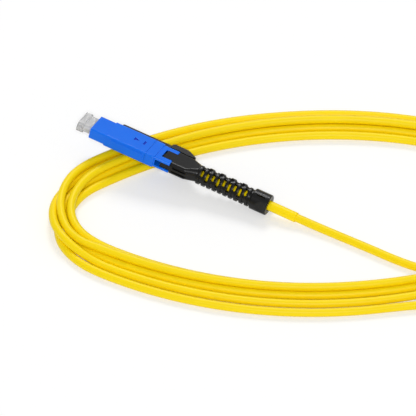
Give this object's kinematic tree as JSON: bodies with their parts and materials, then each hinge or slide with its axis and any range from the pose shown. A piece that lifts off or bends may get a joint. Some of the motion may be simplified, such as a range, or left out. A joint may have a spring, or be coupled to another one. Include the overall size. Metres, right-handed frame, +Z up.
{
  "type": "fibre optic patch cable",
  "caption": "Coiled yellow fibre optic patch cable with a slim blue duplex push-pull plug, black laddered boot and dust cap on each end.",
  "frame": {"origin": "on the surface that the cable lies on, below the middle of the box that holds both plugs", "axes": "+Z up, +X along the coil's long way, from plug a's side to plug b's side"},
  "size_m": [0.1706, 0.0919, 0.0125],
  "materials": {
    "blue_housing": "moulded, satin gloss",
    "black_boot": "moulded elastomer, satin",
    "black_arm": "moulded, satin",
    "clear_cap": "moulded, milky translucent",
    "yellow_jacket": "extruded, satin",
    "yellow_sleeve": "shrunk tube, soft gloss",
    "nickel": "turned, nickel plated",
    "spring_steel": "drawn wire, bright",
    "ceramic": "ground and polished ceramic",
    "fibre_buffer": "buffered fibre, satin"
  },
  "bodies": {
    "cable": {"cable_coil": "yellow_jacket", "cable_tail_a": "yellow_jacket", "cable_tail_b": "yellow_jacket", "housing_a": "blue_housing", "rear_collar_a": "blue_housing", "back_post_a": "nickel", "crimp_sleeve_a": "nickel", "cable_sleeve_a": "yellow_sleeve", "cable_core_a": "yellow_jacket", "upper_spring_a": "spring_steel", "lower_spring_a": "spring_steel", "housing_b": "blue_housing", "rear_collar_b": "blue_housing", "back_post_b": "nickel", "crimp_sleeve_b": "nickel", "cable_sleeve_b": "yellow_sleeve", "cable_core_b": "yellow_jacket", "upper_spring_b": "spring_steel", "lower_spring_b": "spring_steel"},
    "cap_a": {"dust_cap_a": "clear_cap"},
    "grip_a": {"boot_a": "black_boot", "key_arm_a": "black_arm"},
    "upper_float_a": {"upper_ferrule_a": "ceramic", "upper_flange_a": "nickel", "upper_fibre_a": "fibre_buffer"},
    "lower_float_a": {"lower_ferrule_a": "ceramic", "lower_flange_a": "nickel", "lower_fibre_a": "fibre_buffer"},
    "cap_b": {"dust_cap_b": "clear_cap"},
    "grip_b": {"boot_b": "black_boot", "key_arm_b": "black_arm"},
    "upper_float_b": {"upper_ferrule_b": "ceramic", "upper_flange_b": "nickel", "upper_fibre_b": "fibre_buffer"},
    "lower_float_b": {"lower_ferrule_b": "ceramic", "lower_flange_b": "nickel", "lower_fibre_b": "fibre_buffer"}
  },
  "joints": [
    {"name": "cap_pull_a", "type": "slide", "parent": "cable", "child": "cap_a", "axis": [-0.8884, 0.4429, 0.1207], "range_m": [0, 0.012]},
    {"name": "boot_pull_a", "type": "slide", "parent": "cable", "child": "grip_a", "axis": [0.8884, -0.4429, -0.1207], "range_m": [0, 0.002]},
    {"name": "upper_ferrule_push_a", "type": "slide", "parent": "cable", "child": "upper_float_a", "axis": [0.8884, -0.4429, -0.1207], "range_m": [0, 0.001], "stiffness_N_per_m": 200, "springref_m": -0.003, "deforming": ["upper_spring_a"]},
    {"name": "lower_ferrule_push_a", "type": "slide", "parent": "cable", "child": "lower_float_a", "axis": [0.8884, -0.4429, -0.1207], "range_m": [0, 0.001], "stiffness_N_per_m": 200, "springref_m": -0.003, "deforming": ["lower_spring_a"]},
    {"name": "cap_pull_b", "type": "slide", "parent": "cable", "child": "cap_b", "axis": [0, 0.9994, -0.034], "range_m": [0, 0.012]},
    {"name": "boot_pull_b", "type": "slide", "parent": "cable", "child": "grip_b", "axis": [0, -0.9994, 0.034], "range_m": [0, 0.002]},
    {"name": "upper_ferrule_push_b", "type": "slide", "parent": "cable", "child": "upper_float_b", "axis": [0, -0.9994, 0.034], "range_m": [0, 0.001], "stiffness_N_per_m": 200, "springref_m": -0.003, "deforming": ["upper_spring_b"]},
    {"name": "lower_ferrule_push_b", "type": "slide", "parent": "cable", "child": "lower_float_b", "axis": [0, -0.9994, 0.034], "range_m": [0, 0.001], "stiffness_N_per_m": 200, "springref_m": -0.003, "deforming": ["lower_spring_b"]}
  ]
}
